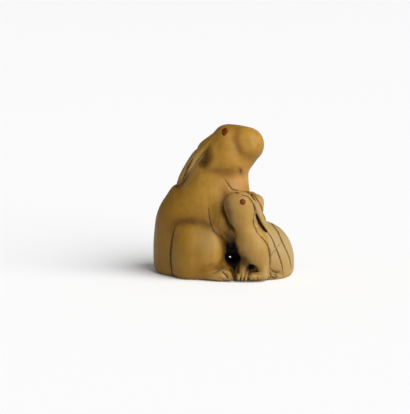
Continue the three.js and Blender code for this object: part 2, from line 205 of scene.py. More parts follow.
far_foreleg = melt(1.2,
                   stroke((2, 4.6, 20.8), (7.2, 1.4, 20.3), 3.2, 2.1),
                   stroke((7.2, 1.4, 20.3), (8.6, -2.4, 20.2), 2.1, 2),
                   stroke((8.6, -2.4, 20.3), (9.1, -4, 18.2), 2, 1.7))
scut = ball((-9.4, BACK - 2.2, 5), (2.6, 2.4, 3.4))

eared = part(scoop(1, melt(1.8, trunk, head), paired(ear_pit)), paired(ear), 0.5)
seated = part(part(eared, near_haunch, 1.6, cut=0.12), far_haunch, 0.8)
holding = part(part(seated, near_foreleg, 1.2, cut=0), far_foreleg, 0.8)
adult = part(part(part(holding, scut, 0.6), near_foot, 0.5), far_foot, 0.4)

# ---------------------------------------------------------------- the young
# It presses its face against the adult's chest, with its ears laid back over its shoulder, one forepaw
# planted at the mouth of the cord's passage and a hind foot tucked beside it. It is the same ivory.
young_head = melt(1.6,
                  ball((4.6, -8.9, 20.6), (3.5, 3.4, 3.6)),
                  ball((2.6, -9.5, 20.8), (2.6, 2.6, 2.7)),
                  ball((3.9, -9.2, 18.2), (2.9, 2.9, 3.2)),
                  stroke((4.8, -8.9, 17.6), (5.6, -8.4, 13.6), 2.9, 2.7))
young_foreleg = stroke((6, -9.2, 6.6), (5.2, -11, 1.6), 1.6, 1.2)
young_hind_leg = stroke((10.4, -8.8, 6.8), (10.6, -10.2, 1.6), 1.7, 1.6)
young_body = melt(0.3,
                  melt(0.7,
                       melt(1.4,
                            ball((7.2, -7.9, 10), (4.6, 4.4, 5.4)),
                            ball((8.8, -8.4, 7.2), (3.5, 3.7, 4.6))),
                       young_foreleg, young_hind_leg),
                  stroke((10.5, -10.8, 1.5), (7.6, -11.6, 1.5), 1.3, 1.15),
                  *toes((5, -11, 1.6), (4.9, -11.9, 0.8), (0.95, -0.1, 0), 0.75, 0.65))
young_ears = melt(0.6,
                  line([(5.6, -7.8, 22.6), (8.3, -6.8, 19.7), (9.9, -6.4, 16.6), (11.5, -6.2, 13.2)],
                       1.25, 0.55),
                  line([(6.4, -6, 21.2), (8.8, -6, 17.6), (10.2, -6, 13.6)], 1.8, 0.8),
                  line([(6.2, -8.4, 20.4), (7.6, -8.5, 17.2), (9.2, -8.2, 13.4)], 1.1, 0.6))
belly_pocket = ball((7.7, -11.2, 3.8), (1.1, 3.4, 0.9), turn=15)
young = scoop(0.4, melt(0.5, melt(1.2, young_body, young_head), young_ears), belly_pocket)

# ---------------------------------------------------------------- the passage for the cord
# It is drilled straight through behind the young, low down, and both mouths are flared. The far one is
# drawn out downwards like a tear, where the cord has worn a groove that lets a little light in.
MIDDLE, WIDE, FLOOR, CEILING = 2.4, 4.1, 4.3, 8.05
WORN_CORNER = 1.95
near_mouth = melt(0.5,
                  ball((MIDDLE, -12.8, (FLOOR + CEILING) / 2), (2.1, 3.6, 2.3)),
                  stroke((MIDDLE - 0.9, -10.6, 10.7), (MIDDLE - 0.2, -10.7, 8.3), 0.5, 1.3),
                  stroke((MIDDLE + 0.3, -9.8, 4.5), (MIDDLE + 0.5, -11.4, 2.9), 1, 0.45))
far_mouth = melt(0.8,
                 ball((MIDDLE, BACK + 1.6, CEILING - 1), (2.8, 2.4, 2.8)),
                 stroke((MIDDLE - 0.66, BACK + 0.5, 2.2), (MIDDLE - 0.3, BACK + 1.2, 5.4), 1.2, 2))
worn_groove = stroke((MIDDLE - 0.7, 1, 4.3), (MIDDLE - 0.66, BACK, 1.95), 0.33, 0.38)
mouths = melt(0.3, near_mouth, far_mouth, worn_groove)
# Painted shade: round the near mouth the colour is painted black in the shape of a leaf, pointed above and
# below.
black_leaf = melt(0.8,
                  stroke((MIDDLE - 1, 0, 12.6), (MIDDLE - 0.3, 0, 8.6), 0.5, 1.5),
                  ball((MIDDLE - 0.05, 0, 6.2), (1.9, 9, 2.2)),
                  stroke((MIDDLE, 0, 5), (MIDDLE + 0.45, 0, 2.9), 1.3, 0.2))


def bore(x, y, z):
    """The straight hole itself, flat on its four sides and round at its corners."""
    u = np.abs(x - MIDDLE) - WIDE / 2 + WORN_CORNER
    v = np.abs(z - (FLOOR + CEILING) / 2) - (CEILING - FLOOR) / 2 + WORN_CORNER
    return np.hypot(np.maximum(u, 0), np.maximum(v, 0)) + np.minimum(np.maximum(u, v), 0) - WORN_CORNER


foot = ball((2, -3, 0), (13, 7.6, FLOOR - 0.4))
group = scoop(0.2, scoop(0.5, melt(0.6, part(adult, young, 1.3), foot), mouths), bore)

# ---------------------------------------------------------------- the cut lines
# Last, the carver cuts the fine lines with a graver and rubs brown stain into them: the edges of the
# haunches, the gaps between toes, the hollows of the ears and the fur under the chin.
NEAR, FAR = -1, 1


def marks_on(sides, *rows):
    """Marks on one or both sides. Each row is a mark's course seen from the side, half its width, its depth
    and how dark it is."""
    return [(side, curve(course), *rest) for side in sides for course, *rest in rows]


CUTS = marks_on(
    [NEAR],
    # the adult's near thigh: up from the foot, over its top and down behind the knee
    ([(-13.9, 0.2), (-14.4, 4.6), (-14.3, 8), (-13.9, 11.4), (-13.2, 14.2)], 0.2, 0.28, 1),
    # the near foreleg and its toes
    ([(-4.1, 19.4), (-3.8, 16.2), (-2.8, 13.7), (-1, 12), (0.4, 10.8)], 0.17, 0.2, 0.8),
    ([(-0.2, 13.9), (0.5, 12.4), (1.1, 10.8)], 0.14, 0.12, 0.8),
    ([(1.5, 10.9), (1.2, 12.2), (0.8, 13.3)], 0.12, 0.1, 0.6),
    ([(0.4, 17.8), (1.3, 15.2), (1.9, 12.6)], 0.14, 0.1, 0.5),
    # toes of the near hind foot, and the gap between it and the young's paw
    ([(-0.5, 2.9), (0.4, 2.1), (1.3, 1.1)], 0.22, 0.26, 1),
    ([(1.5, 3), (2.1, 2.4), (2.6, 1.4)], 0.16, 0.2, 0.8),
    ([(-1.2, 1.4), (-0.5, 1), (0.1, 0.5)], 0.14, 0.14, 0.6),
    ([(-3.6, 3), (-2.2, 4), (-0.8, 4.8)], 0.14, 0.08, 0.45),
    ([(-0.3, 4.2), (-1.6, 3.6), (-2.8, 2.8)], 0.14, 0.08, 0.45),
    ([(-4.6, 3.7), (-3.1, 4.7), (-1.6, 5.3)], 0.14, 0.06, 0.35),
    ([(2.8, 3.6), (2.9, 2), (2.9, 0.1)], 0.2, 0.3, 1.1),
    # throat, running on over the young's head
    ([(0.2, 26.9), (1.2, 25.4), (2.3, 24.2), (4, 23.9)], 0.16, 0.16, 0.8),
    ([(4.3, 28), (4.5, 28.8), (4.4, 29.6)], 0.24, 0.16, 0.7),
    ([(4.9, 28.9), (5, 27.4), (4.9, 26.4)], 0.14, 0.1, 0.4),
    # nose and mouth
    ([(8.2, 39.4), (8.8, 38.9), (9.3, 38.3)], 0.12, 0.05, 0.4),
    ([(9.8, 36.3), (9.5, 36), (9, 35.6)], 0.13, 0.06, 0.5),
    # the gap between the near ear and the nape
    ([(-8.7, 29.8), (-9.1, 29.2), (-10.7, 26.9), (-11.6, 25.6)], 0.16, 0.06, 0.4),
    # the young's ears: the deep slit between them, and the line behind its head
    ([(8.6, 18), (9, 16.7), (9.7, 15.2), (10.8, 13.6), (11.6, 12.8)], 0.3, 1.1, 1.25),
    ([(4.6, 23.6), (6.3, 23.1), (7.5, 21.6), (8, 20.2), (8.3, 18.8)], 0.16, 0.22, 0.8),
    ([(8.1, 22.4), (9.4, 20.6), (10.4, 18.6), (11, 16.4)], 0.17, 0.18, 0.7),
    ([(8.2, 18.8), (7.9, 17), (8, 15.4), (8.9, 13.6)], 0.2, 0.12, 0.6),
    # fur and folds on the far thigh
    ([(8.5, 13.8), (10.5, 11.6), (11.7, 9.8), (12.2, 7.7), (12.4, 5.4), (12.3, 3.4)], 0.17, 0.2, 0.85),
    ([(11.8, 12.8), (13.1, 10.9), (13.7, 9.3), (14.2, 8.2), (15, 6.2), (15.6, 4.2), (16.1, 0.9)],
     0.17, 0.18, 0.85),
    ([(12.2, 15.2), (13.2, 14.1), (14.6, 12.5), (15.6, 10.4), (16.9, 7.7), (17.9, 5.1), (18.3, 2.3)],
     0.17, 0.16, 0.75),
    ([(13.9, 8.6), (12.8, 7.1), (12.4, 6.2)], 0.14, 0.08, 0.5),
    ([(13.9, 8.7), (14.8, 9.4), (15.4, 9.7)], 0.14, 0.08, 0.45),
    # toes of the far foot, and those of the young
    ([(12.5, 3.6), (13.4, 2.5), (14.2, 2.2), (15.2, 2.3)], 0.18, 0.2, 0.9),
    ([(12.8, 1.3), (13.4, 0.7), (13.9, 0.2)], 0.16, 0.16, 0.8),
    ([(13.6, 1.9), (14, 1.2), (14.2, 0.5)], 0.15, 0.16, 0.8),
    ([(12.3, 2.4), (12.6, 1.4), (12.5, 0.4)], 0.15, 0.14, 0.7),
    ([(4.4, 0.3), (4.5, 1.1), (4.7, 2)], 0.15, 0.16, 0.6),
    ([(6.4, 3.2), (5.9, 2.3), (5.5, 1.4), (5.3, 0.6)], 0.17, 0.16, 0.8),
    ([(7.8, 0.4), (8, 1.1), (7.6, 1.6)], 0.14, 0.12, 0.7),
    ([(8.8, 1.8), (9.1, 1.2), (9, 0.5)], 0.14, 0.12, 0.7),
    ([(6.2, 2.2), (8.4, 2.4), (10.2, 2.2)], 0.14, 0.1, 0.5),
) + marks_on(
    [FAR],
    # throat, foreleg, knee and thigh much as on the near side
    ([(0.6, 25.2), (2.6, 23.6), (5, 23)], 0.2, 0.2, 0.7),
    ([(-2.4, 19.6), (0.4, 17.6), (4.6, 17.4), (8.6, 17.2)], 0.2, 0.25, 0.8),
    ([(-6.2, 13.6), (-2.2, 12.2), (0.4, 8.4), (0.8, 3)], 0.2, 0.25, 0.7),
    ([(4.7, 0.4), (4.9, 4), (4.6, 8.4), (3.4, 12)], 0.2, 0.28, 0.85),
) + marks_on(
    [NEAR, FAR],
    # the hollow of each ear
    ([(-8.4, 32.3), (-9.8, 29.8), (-10.9, 27.1), (-11.8, 26)], 0.25, 0.22, 0.75),
)
# Shallow creases, and hollows into which brown stain is rubbed. The wider bands are also painted shade, where
# shade falls over and behind the near thigh, beside the foreleg, round the paws, under the cheek and under
# the ear's end.
CREASES = marks_on(
    [NEAR],
    # over the near thigh, and behind its knee down to the foot
    ([(-14, 13), (-13.2, 14.8), (-10.5, 15.7), (-6.8, 15.7), (-4.4, 15.1), (-2.6, 14)], 1.2, 0.1, 0.9),
    ([(-5, 15.4), (-1.7, 12.8), (-0.2, 10.4), (0.2, 8), (-0.3, 5.5), (-2, 3.8)], 0.7, 0.2, 0.85),
    # beside the near foreleg, down to the passage
    ([(1, 20.6), (1.4, 18.4), (1.8, 15)], 0.8, 0, 0.6),
    ([(0.9, 15.6), (1.4, 13.6), (1.8, 11.6), (2, 9.6), (2.1, 8)], 1.3, 0, 1.35),
    # over the near foot, round the young's forepaw and over the far foot
    ([(-5, 4.2), (-2.6, 4.4), (0, 3.4)], 0.7, 0, 0.45),
    ([(4.6, 7.6), (5.3, 5.9), (6.3, 4.6), (7.2, 3.6)], 1.2, 0, 1.6),
    ([(2.2, 3.4), (2.5, 1.8), (2.4, 0)], 0.5, 0, 1.3),
    ([(6.6, 4.4), (6.2, 3.4), (5.9, 2.6)], 0.55, 0, 1.6),
    ([(12.4, 2.9), (14.4, 2.5), (15.6, 1.6)], 0.5, 0, 0.5),
) + marks_on(
    [NEAR, FAR],
    # under the cheek, round the muzzle and where the ear ends on the back
    ([(-6, 29), (-2.8, 29.3), (0, 29.2), (4, 28.7)], 0.7, 0.08, 0.4),
    ([(3.6, 38.6), (3.3, 37), (3.9, 35.3), (4.8, 33.9)], 0.5, 0, 0.25),
    ([(-11.6, 26), (-12.8, 25), (-11.6, 23.4)], 0.8, 0.05, 0.7),
)
# Soft reddish brown stains, which have no depth. Beside the young's head, round the near thigh, where the ear
# ends and under the cheek they are partly painted shade.
STAINS_AND_SHADE = marks_on(
    [NEAR],
    # behind the eye, beside the young's head, round the near thigh and where the ear ends
    ([(-2, 37.6), (-1.2, 36.6), (-0.8, 35.4)], 0.8, 0, 0.5),
    ([(0, 24.6), (0.4, 22.6), (0.9, 20.4), (1.6, 17)], 0.9, 0, 0.7),
    ([(-14, 12.6), (-13, 15.2), (-10, 16.4), (-6.4, 16.4), (-3.6, 15)], 1.5, 0, 0.45),
    ([(-3.4, 16), (-1, 12.8), (0.4, 10.4), (0.6, 7.6), (-0.2, 5), (-2.6, 3.6), (-6, 3)], 1.2, 0, 0.8),
    ([(-12, 25.8), (-12.8, 24.4), (-12.2, 22.4)], 0.9, 0, 0.7),
) + marks_on(
    [NEAR, FAR],
    # round the muzzle, on the throat and under the cheek
    ([(4.2, 41.2), (3.6, 39.6), (3.3, 37.6), (4, 35.6), (5, 34), (7, 33)], 1.1, 0, 1.1),
    ([(3.6, 30.4), (4.4, 29.4), (4.9, 28.2)], 0.8, 0, 0.8),
    ([(-4.6, 29), (-1.6, 28.5), (1.4, 28.3), (3.8, 28.8)], 0.9, 0, 0.6),
) + marks_on(
    [FAR],
    # above the far knee
    ([(-7, 14.6), (-3, 13.2), (-0.2, 9.6), (0.4, 4)], 1.2, 0, 0.7),
)


def beside(course, x, z):
    """How far places are from a course seen from the side, on which side of it, and how far along."""
    least, hand, along = np.full(x.shape, 99.0), np.ones(x.shape), np.zeros(x.shape)
    for i, ((x0, z0), (x1, z1)) in enumerate(zip(course, course[1:])):
        dx, dz = x1 - x0, z1 - z0
        t = np.clip(((x - x0) * dx + (z - z0) * dz) / (dx * dx + dz * dz), 0, 1)
        away = np.hypot(x - x0 - dx * t, z - z0 - dz * t)
        nearer = away < least
        least[nearer] = away[nearer]
        hand[nearer] = np.sign(dx * (z - z0) - dz * (x - x0))[nearer]
        along[nearer] = (i + t[nearer]) / (len(course) - 1)
    return least, hand, along


REACH = 1.3  # how far beyond its width a mark is looked for
FINEST = 0.22  # half the width of the narrowest cut that the skin can follow


def close_marks(kept, x, y, z):
    """For each mark that comes near: its sizes, which places it reaches, and how they lie beside it."""
    for side, course, half, depth, tone in kept:
        low, high = course.min(0) - 2.2 * half - REACH, course.max(0) + 2.2 * half + REACH
        inside = (side * y > 0.5) & (x > low[0]) & (x < high[0]) & (z > low[1]) & (z < high[1])
        if inside.any():
            yield half, depth, tone, inside, *beside(course, x[inside], z[inside])


def tapered(along):
    """A cut is widest in the middle and thins out towards its ends."""
    return 0.35 + 0.65 * np.sin(math.pi * along) ** 0.6


def cut_depths(x, y, z):
    """How deep the cuts and creases are at each place."""
    total = np.zeros(x.shape)
    for half, depth, _, inside, away, _, along in close_marks(CUTS + CREASES, x, y, z):
        thin = tapered(along)
        shape = np.exp(-((away / (max(half, FINEST) * thin)) ** 2)) * depth * thin
        total[inside] = np.maximum(total[inside], shape)
    return total


FOOT_ROUND, FOOT_LIFT = 2.6, 0.3  # how softly the sides turn under to the flat foot, and how high


def netsuke(x, y, z):
    """The whole carving, cut flat below with a soft edge round its foot."""
    depth = group(x, y, z) + cut_depths(x, y, z)
    return np.maximum(-soft_min(-depth, z + FOOT_LIFT, FOOT_ROUND), -z)


# ---------------------------------------------------------------- the ivory's surface
# The shaped and cut block as one closed skin: squares are laid round every place where the depth changes
# sign, and their corners are then drawn onto the surface itself.
FINE = 0.265
COARSE = 8  # small cubes along one side of a block


def sampled(form, low, count):
    """The form on a grid; blocks far from the surface take the value at their middle."""
    axes = [low[i] + FINE * np.arange(count[i]) for i in range(3)]
    values = np.empty(count, np.float32)
    blocks = [range(0, count[i], COARSE) for i in range(3)]
    corners = np.array([(i, j, k) for i in blocks[0] for j in blocks[1] for k in blocks[2]])
    middles = np.array(low) + FINE * (corners + COARSE / 2)
    depth = form(*middles.T)
    # A block's corners lie 0.87 of its side from its middle, and the cuts add a little.
    near = np.abs(depth) < FINE * COARSE * 1.25 + 0.6
    for (i, j, k), value, close in zip(corners, depth, near):
        if not close:
            values[i:i + COARSE, j:j + COARSE, k:k + COARSE] = value
    pick = np.zeros(count, bool)
    for i, j, k in corners[near]:
        pick[i:i + COARSE, j:j + COARSE, k:k + COARSE] = True
    i, j, k = np.nonzero(pick)
    for s in range(0, len(i), 200_000):
        t = slice(s, s + 200_000)
        values[i[t], j[t], k[t]] = form(axes[0][i[t]], axes[1][j[t]], axes[2][k[t]])
    return values


def untangled(inside):
    """Takes away the corners at which two sheets of the skin would touch."""
    inside = inside.copy()
    while True:
        changed = False
        for a, b in ((0, 1), (1, 2), (0, 2)):
            v = np.moveaxis(inside, (a, b), (0, 1))
            p, q, r, s = v[:-1, :-1], v[1:, :-1], v[:-1, 1:], v[1:, 1:]
            cross = (p & s & ~q & ~r) | (q & r & ~p & ~s)
            if cross.any():
                changed = True
                p &= ~cross
                q &= ~cross
        if not changed:
            return inside


CORNERS = [(i, j, k) for i in (0, 1) for j in (0, 1) for k in (0, 1)]


def crossed_cubes(inside):
    """The cubes of the grid through which the surface passes."""
    full = np.zeros(np.subtract(inside.shape, 1), np.int8)
    for corner in CORNERS:
        full += inside[tuple(slice(c, n - 1 + c) for c, n in zip(corner, inside.shape))]
    return np.argwhere((full > 0) & (full < len(CORNERS)))


def crossings(cubes, values):
    """In each cube, the middle of the places where the surface crosses its edges."""
    at, crossed = np.zeros((len(cubes), 3)), np.zeros(len(cubes))
    for corner in CORNERS:
        for axis in range(3):
            if corner[axis]:
                continue
            along = np.eye(3, dtype=int)[axis]
            a = values[tuple((cubes + corner).T)]
            b = values[tuple((cubes + corner + along).T)]
            hit = (a < 0) != (b < 0)
            t = a[hit] / (a[hit] - b[hit])
            at[hit] += np.array(corner, float) + np.outer(t, along)
            crossed[hit] += 1
    return at / crossed[:, None]


def squares(inside, number):
    """A square round every edge of the grid that the surface crosses, facing outwards."""
    faces = []
    for axis in range(3):
        first = [slice(1, -1)] * 3
        first[axis] = slice(0, -1)
        second = list(first)
        second[axis] = slice(1, None)
        a, b = inside[tuple(first)], inside[tuple(second)]
        edge = np.argwhere(a != b) + np.array([0 if i == axis else 1 for i in range(3)])
        leaving = a[a != b]
        u, v = np.eye(3, dtype=int)[(axis + 1) % 3], np.eye(3, dtype=int)[(axis + 2) % 3]
        around = [number[tuple((edge - step).T)] for step in (u + v, v, 0, u)]
        quads = np.stack(around, 1)
        quads[~leaving] = quads[~leaving][:, ::-1]
        faces.append(quads)
    return np.vstack(faces)


def skin(form, low, high):
    """A closed net of four-sided faces on the form's surface."""
    count = tuple(int(math.ceil((h - l) / FINE)) + 1 for l, h in zip(low, high))
    values = sampled(form, low, count)
    inside = untangled(values < 0)
    values = np.where(inside, np.minimum(values, -1e-4), np.maximum(values, 1e-4))
    cubes = crossed_cubes(inside)
    number = np.full(np.subtract(count, 1), -1, np.int64)
    number[tuple(cubes.T)] = np.arange(len(cubes))
    return np.array(low) + FINE * (cubes + crossings(cubes, values)), squares(inside, number)


def slope(form, p, reach=0.06):
    """Which way, and how steeply, the depth grows."""
    x, y, z = p.T
    return np.stack([form(x + reach, y, z) - form(x - reach, y, z),
                     form(x, y + reach, z) - form(x, y - reach, z),
                     form(x, y, z + reach) - form(x, y, z - reach)], 1) / (2 * reach)


points, faces = skin(netsuke, (LEFT - 1.2, -14.2, -1.2), (RIGHT + 1.2, BACK + 1.4, HEIGHT + 1.2))
for _ in range(3):
    steep = slope(netsuke, points)
    step = netsuke(*points.T)[:, None] * steep / np.maximum((steep * steep).sum(1), 0.2)[:, None]
    points -= np.clip(step, -FINE / 2, FINE / 2)


def made_object(name, places, corners):
    """A mesh object from places in millimetres and the corners of its faces."""
    mesh = bpy.data.meshes.new(name)
    mesh.vertices.add(len(places))
    mesh.vertices.foreach_set("co", places.astype(np.float32).ravel())
    mesh.loops.add(corners.size)
    mesh.loops.foreach_set("vertex_index", corners.astype(np.int32).ravel())
    mesh.polygons.add(len(corners))
    mesh.polygons.foreach_set("loop_start", np.arange(0, corners.size, corners.shape[1], dtype=np.int32))
    mesh.update(calc_edges=True)
    mesh.validate()
    made = bpy.data.objects.new(name, mesh)
    bpy.context.scene.collection.objects.link(made)
    return made


carving = made_object("carved_ivory", points, faces)

# ---------------------------------------------------------------- the three eyes
# Each eye is a small domed plug of dark red horn, pushed into a socket drilled for it and held by glue.
# The adult has a long pointed one on either side; the young, turned away, shows a single round one.


class Wire:
    """A socket of a node tree. Arithmetic on it adds Math nodes to its tree."""

    def __init__(self, tree, socket=None):
        self.tree, self.socket = tree, socket

    def node(self, kind, settings=None, inputs=None, out=0):
        """Adds a node: first its settings, then the values or links of its sockets."""
        node = self.tree.nodes.new(kind)
        for name, value in (settings or {}).items():
            if name == "stops":
                band = node.color_ramp.elements
                while len(band) < len(value):
                    band.new(1)
                for stop, (where, colour) in zip(band, value):
                    stop.position, stop.color = where, (*colour, 1)
            else:
                setattr(node, name, value)
        for name, value in (inputs or {}).items():
            if isinstance(value, Wire):
                self.tree.links.new(value.socket, node.inputs[name])
            else:
                node.inputs[name].default_value = value
        return Wire(self.tree, node.outputs[out] if node.outputs else None)

    def maths(self, operation, *values):
        return self.node("ShaderNodeMath", {"operation": operation}, dict(enumerate(values)))

    def __add__(self, other):
        return self.maths("ADD", self, other)

    def __sub__(self, other):
        return self.maths("SUBTRACT", self, other)

    def __rsub__(self, other):
        return self.maths("SUBTRACT", other, self)

    def __mul__(self, other):
        return self.maths("MULTIPLY", self, other)

    def __pow__(self, other):
        return self.maths("POWER", self, other)

    __radd__, __rmul__ = __add__, __mul__

    def most(self, other):
        return self.maths("MAXIMUM", self, other)

    def within(self, low=0.0, high=1.0):
        """Goes smoothly from 0 at low to 1 at high."""
        settings = {"interpolation_type": "SMOOTHSTEP"}
        return self.node("ShaderNodeMapRange", settings, {"Value": self, "From Min": low, "From Max": high})


# Half the width, height and depth of each plug, and its place seen from the side.
ADULT_EYE = dict(half=(0.82, 1.2, 0.42), at=(0.2, 39.6), pointed=0.4)
YOUNG_EYE = dict(half=(0.76, 0.78, 0.38), at=(5, 21.9), pointed=0.0)
GLUE = 0.05  # the gap all round a plug


def plug_tree():
    """A plug: a ball with three radii, its lower half narrowed to a point, seated and turned outwards."""
    tree = bpy.data.node_groups.new("eye_plug", "GeometryNodeTree")
    sockets = tree.interface.new_socket
    sockets("Geometry", in_out="OUTPUT", socket_type="NodeSocketGeometry")
    for name in ("Half width", "Half height", "Half depth", "Pointed"):
        sockets(name, in_out="INPUT", socket_type="NodeSocketFloat")
    sockets("Seat", in_out="INPUT", socket_type="NodeSocketVector")
    sockets("Turn", in_out="INPUT", socket_type="NodeSocketVector")
    sockets("Finish", in_out="INPUT", socket_type="NodeSocketMaterial")
    given = tree.nodes.new("NodeGroupInput")
    w = Wire(tree)

    def size(name):
        return Wire(tree, given.outputs[name])

    ball_mesh = w.node("GeometryNodeMeshUVSphere", inputs={"Segments": 48, "Rings": 24, "Radius": 1.0})
    here = w.node("ShaderNodeSeparateXYZ", inputs={0: w.node("GeometryNodeInputPosition")})
    across, up, out = (Wire(tree, here.socket.node.outputs[i]) for i in range(3))
    narrowed = 1 - size("Pointed") * (0 - up).most(0) ** 1.5
    place = w.node("ShaderNodeCombineXYZ", inputs={0: across * narrowed * size("Half width"),
                                                  1: up * size("Half height"),
                                                  2: out * size("Half depth")})
    shaped = w.node("GeometryNodeSetPosition", inputs={"Geometry": ball_mesh, "Position": place})
    seated = w.node("GeometryNodeTransform", inputs={"Geometry": shaped, "Translation": size("Seat"),
                                                     "Rotation": size("Turn")})
    plain = w.node("GeometryNodeRealizeInstances", inputs={"Geometry": seated})
    smooth = w.node("GeometryNodeSetShadeSmooth", inputs={"Geometry": plain})
    done = w.node("GeometryNodeSetMaterial", inputs={"Geometry": smooth, "Material": size("Finish")})
    w.node("NodeGroupOutput", inputs={0: done})
    return tree


def seat(x, z):
    """The point of the surface behind a place seen from the near side, and the way that it faces there."""
    y = -15.0
    for _ in range(80):
        y += 0.6 * float(group(np.array([x]), np.array([y]), np.array([z]))[0])
    p = np.array([[x, y, z]])
    out = slope(group, p, 0.2)[0]
    return p[0], out / np.linalg.norm(out)


def made_plug(name, tree, eye, point, out, finish=None, margin=0.0):
    """One plug in millimetres, or with a margin the drill that cuts its socket."""
    out = Vector(out)
    side = Vector((0, 0, 1)).cross(out).normalized()
    turn = Matrix((side, out.cross(side), out)).transposed().to_euler()
    made = bpy.data.objects.new(name, bpy.data.meshes.new(name))
    bpy.context.scene.collection.objects.link(made)
    half = [v + margin for v in eye["half"]]
    values = {"Half width": half[0], "Half height": half[1], "Half depth": half[2],
              "Pointed": eye["pointed"], "Seat": tuple(point), "Turn": tuple(turn), "Finish": finish}
    rule = made.modifiers.new("plug", "NODES")
    rule.node_group = tree
    for item in tree.interface.items_tree:
        if item.in_out == "INPUT" and values[item.name] is not None:
            rule[item.identifier] = values[item.name]
    plain = bpy.data.meshes.new_from_object(made.evaluated_get(bpy.context.evaluated_depsgraph_get()))
    made.modifiers.clear()
    made.data = plain
    return made


def eye_finish():
    """Dark red horn, clouded darker and lighter, with a hard polish."""
    finish = bpy.data.materials.new("red_horn")
    finish.use_nodes = True
    finish.node_tree.nodes.clear()
    w = Wire(finish.node_tree)
    where = w.node("ShaderNodeTexCoord", out=3)
    cloud = w.node("ShaderNodeTexNoise", inputs={"Vector": where, "Scale": 900.0, "Detail": 3.0}, out=0)
    veins = w.node("ShaderNodeTexNoise", inputs={"Vector": where, "Scale": 4200.0, "Detail": 2.0}, out=0)
    tone = (cloud * 0.7 + veins * 0.3).within(0.3, 0.7)
    reds = [(0, (0.07, 0.009, 0.0006)), (0.6, (0.105, 0.016, 0.001)), (1, (0.17, 0.034, 0.002))]
    colour = w.node("ShaderNodeValToRGB", {"stops": reds}, {"Fac": tone})
    shader = w.node("ShaderNodeBsdfPrincipled", inputs={
        "Base Color": colour, "Roughness": veins * 0.12 + 0.2, "IOR": 1.45, "Specular IOR Level": 0.1})
    w.node("ShaderNodeOutputMaterial", inputs={0: shader})
    return finish


plug, horn = plug_tree(), eye_finish()
adult_point, adult_out = seat(*ADULT_EYE["at"])
young_point, young_out = seat(*YOUNG_EYE["at"])
over = np.array([1, -1, 1])
seats = {"adult_right_eye": (ADULT_EYE, adult_point, adult_out),
         "adult_left_eye": (ADULT_EYE, adult_point * over, adult_out * over),
         "young_eye": (YOUNG_EYE, young_point, young_out)}
plugs = {name: made_plug(name + "_inlay", plug, *place, horn) for name, place in seats.items()}
for name, place in seats.items():
    drill = made_plug("drill", plug, *place, margin=GLUE)
    cut = carving.modifiers.new("socket", "BOOLEAN")
    cut.solver, cut.operation, cut.object = "MANIFOLD", "DIFFERENCE", drill
    carved = bpy.data.meshes.new_from_object(carving.evaluated_get(bpy.context.evaluated_depsgraph_get()))
    carving.modifiers.clear()
    carving.data = carved
    bpy.data.objects.remove(drill)


def middle(corners):
    """The middle of a box or a row of places."""
    return np.mean(np.array([tuple(c) for c in corners]), 0)


def spots(mesh):
    """A mesh's places as rows."""
    co = np.empty(len(mesh.vertices) * 3, np.float32)
    mesh.vertices.foreach_get("co", co)
    return co.reshape(-1, 3).astype(float)


# The carving is set down so that the young's eye is where the frame has it, and goes from mm to m.
MM = 0.001
eye_spots = spots(plugs["young_eye"].data)
shift = middle(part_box("young_eye")) - (eye_spots.min(0) + eye_spots.max(0)) / 2 * MM
set_down = Matrix.Translation(Vector(shift)) @ Matrix.Scale(MM, 4)
for name, inlay in plugs.items():
    inlay.data.transform(set_down)
    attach(inlay, "root")
    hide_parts(name)

# ---------------------------------------------------------------- the ivory's colour and polish
# Old ivory, stained honey brown and rubbed pale again where hands reach: the far thigh, the young's ears and
# the rims.
# Brown lies in every hollow and cut, partly stain and partly painted shade; the mouths of the passage are
# painted nearly black as shade, the near knee and the young's head carry painted highlights, and the back is
# painted darker as shade.
spot = spots(carving.data)
x, y, z = spot.T
# How closed in each place is: how little room there is over it, close by and further off.
facing = slope(netsuke, spot, 0.12)
facing /= np.maximum(np.linalg.norm(facing, axis=1), 1e-6)[:, None]
recess = np.zeros(len(spot))
for reach, share in ((0.5, 0.3), (1.3, 0.35), (3, 0.35)):
    room = netsuke(*(spot + facing * reach).T) / reach
    recess += share * np.clip(1 - room, 0, 1.2)


def eased(value, low, high):
    """Goes smoothly from 0 at low to 1 at high."""
    t = np.clip((value - low) / (high - low), 0, 1)
    return t * t * (3 - 2 * t)


def on(form, fade):
    """1 on a form's own surface, fading away from it."""
    return np.exp(-((np.maximum(form(x, y, z), 0) / fade) ** 2))


def seen(form):
    """A form's depth at each place as it lies seen from the side, however far back."""
    return form(x, np.zeros(len(x)), z)


def patch(at_x, at_z, wide, high):
    """1 at a spot seen from the side, fading all round it."""
    return np.exp(-(np.hypot((x - at_x) / wide, (z - at_z) / high) ** 2))


def stain_and_shade_strokes(kept):
    """How strongly each place is coloured by soft strokes: stain, and in places painted shade."""
    total = np.zeros(len(spot))
    for half, _, tone, inside, away, _, along in close_marks(kept, x, y, z):
        shape = np.exp(-((away / half) ** 2)) * np.sin(math.pi * np.clip(along, 0.08, 0.92)) ** 0.5 * tone
        total[inside] = np.maximum(total[inside], shape)
    return total


# Stain, partly painted shade, in soft strokes along the creases and the stains.
brown, rust = stain_and_shade_strokes(CREASES), stain_and_shade_strokes(STAINS_AND_SHADE)
# Painted shade: behind the near rim of each ear the hollow is painted dark up to the rim, and clears towards
# the cheek.
shade = seen(stroke((-4.4, 0, 35.6), (-5.5, 0, 31.3), 0.2, 1.3))
beyond_rim = ((x + 4.2) * 5.6 - (z - 36) * 3.4) / math.hypot(5.6, 3.4)
ear_pit_shade = (1 - eased(shade, -0.9, 1.5)) * eased(beyond_rim, -0.1, 0.3) * eased(np.abs(y), 2, 3)
brown = np.maximum(brown, ear_pit_shade)
leaf = seen(black_leaf)
# Painted shade: brown round the leaf at the near mouth.
brown = np.maximum(brown, 1.2 * (1 - eased(leaf, 0, 1.1)) * eased(-y, 4, 6))
